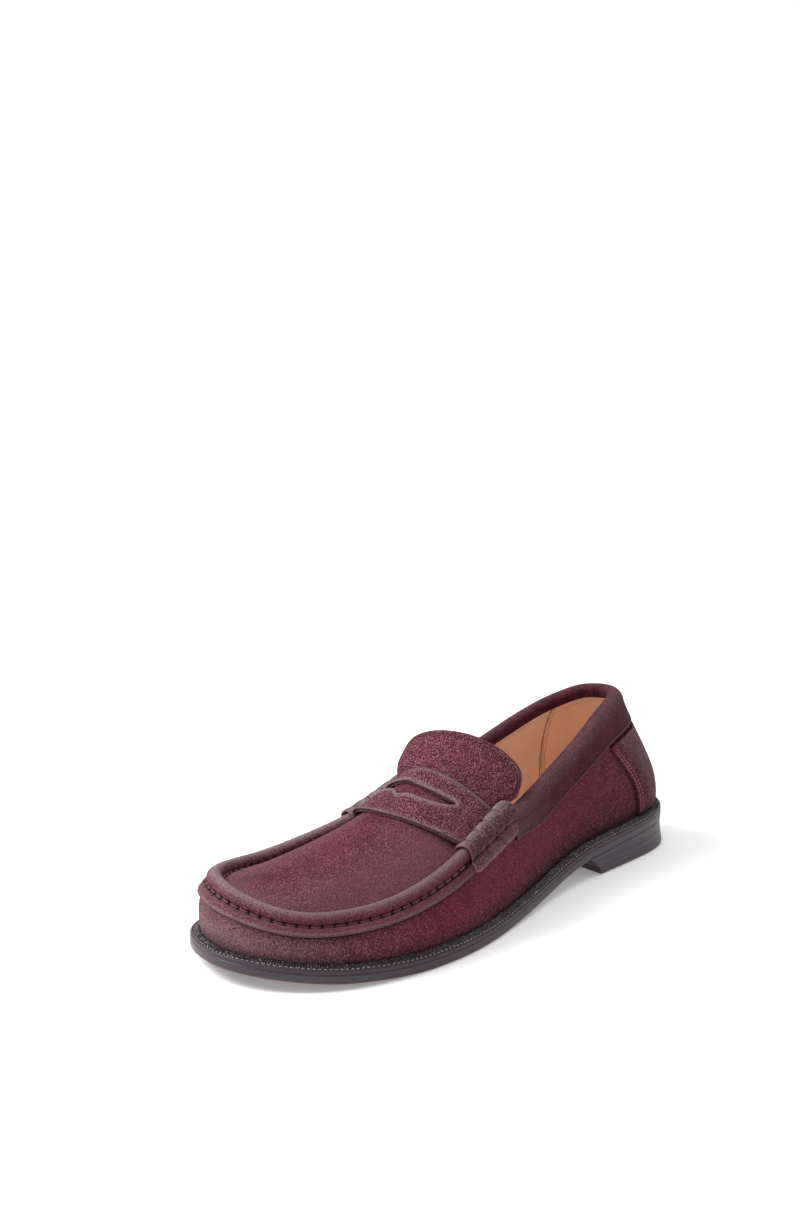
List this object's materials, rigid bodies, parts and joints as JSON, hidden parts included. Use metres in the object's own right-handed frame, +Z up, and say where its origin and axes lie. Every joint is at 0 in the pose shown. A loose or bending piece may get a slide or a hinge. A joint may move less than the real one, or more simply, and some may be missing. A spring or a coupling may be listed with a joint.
{
  "type": "penny loafer",
  "caption": "Slip-on moccasin shoe with a rolled apron seam, slotted instep strap with end rolls, bound collar, welted sole and low stacked heel.",
  "frame": {"origin": "middle of the bounding box in X and Y, at floor level", "axes": "+X to the toe, +Y to the outer (lateral) side of this left shoe, +Z up"},
  "size_m": [0.299, 0.1102, 0.0849],
  "materials": {
    "brushed_suede": "brushed suede with a short two-tone nap",
    "waxed_suede": "burnished, waxed suede",
    "tan_lining": "smooth tan lining leather",
    "sock_leather": "pale smooth sock leather",
    "sole_leather": "painted and waxed sole edge",
    "welt_leather": "near-black wheeled welt",
    "heel_rubber": "painted rubber top piece",
    "fibre_board": "pressed leather-fibre board",
    "cork": "granulated cork",
    "shank_steel": "spring steel",
    "nail_brass": "bright brass",
    "thread": "waxed twisted thread"
  },
  "bodies": {
    "shoe": {"apron": "brushed_suede", "apron_thread": "thread", "back_stay": "brushed_suede", "collar": "brushed_suede", "cork_filler": "cork", "heel_counter": "fibre_board", "heel_lift": "sole_leather", "heel_lining": "tan_lining", "heel_nail_1": "nail_brass", "heel_nail_2": "nail_brass", "heel_nail_3": "nail_brass", "heel_nail_4": "nail_brass", "heel_nail_5": "nail_brass", "heel_seat_filler": "fibre_board", "heel_top_piece": "heel_rubber", "heel_wedge": "sole_leather", "insole": "fibre_board", "interlining_inner": "fibre_board", "interlining_outer": "fibre_board", "outseam_thread": "thread", "outsole": "sole_leather", "piping_cord": "fibre_board", "quarter_lining_inner": "tan_lining", "quarter_lining_outer": "tan_lining", "roll_thread_inner": "thread", "roll_thread_outer": "thread", "shank": "shank_steel", "sock_lining": "sock_leather", "stay_thread_inner": "thread", "stay_thread_outer": "thread", "strap": "brushed_suede", "strap_roll_inner": "waxed_suede", "strap_roll_outer": "waxed_suede", "toe_puff": "fibre_board", "vamp_lining": "tan_lining", "vamp_wall": "brushed_suede", "welt": "welt_leather"},
    "tongue_flap": {"tongue": "brushed_suede", "tongue_lining": "tan_lining", "tongue_thread": "thread"}
  },
  "joints": [
    {"name": "tongue_lift", "type": "hinge", "parent": "shoe", "child": "tongue_flap", "pos_m": [0.01673, -0.00587, 0.0636], "axis": [-0.094, 0.9956, 0], "range_deg": [-1, 45], "stiffness_Nm_per_rad": 0.02}
  ]
}
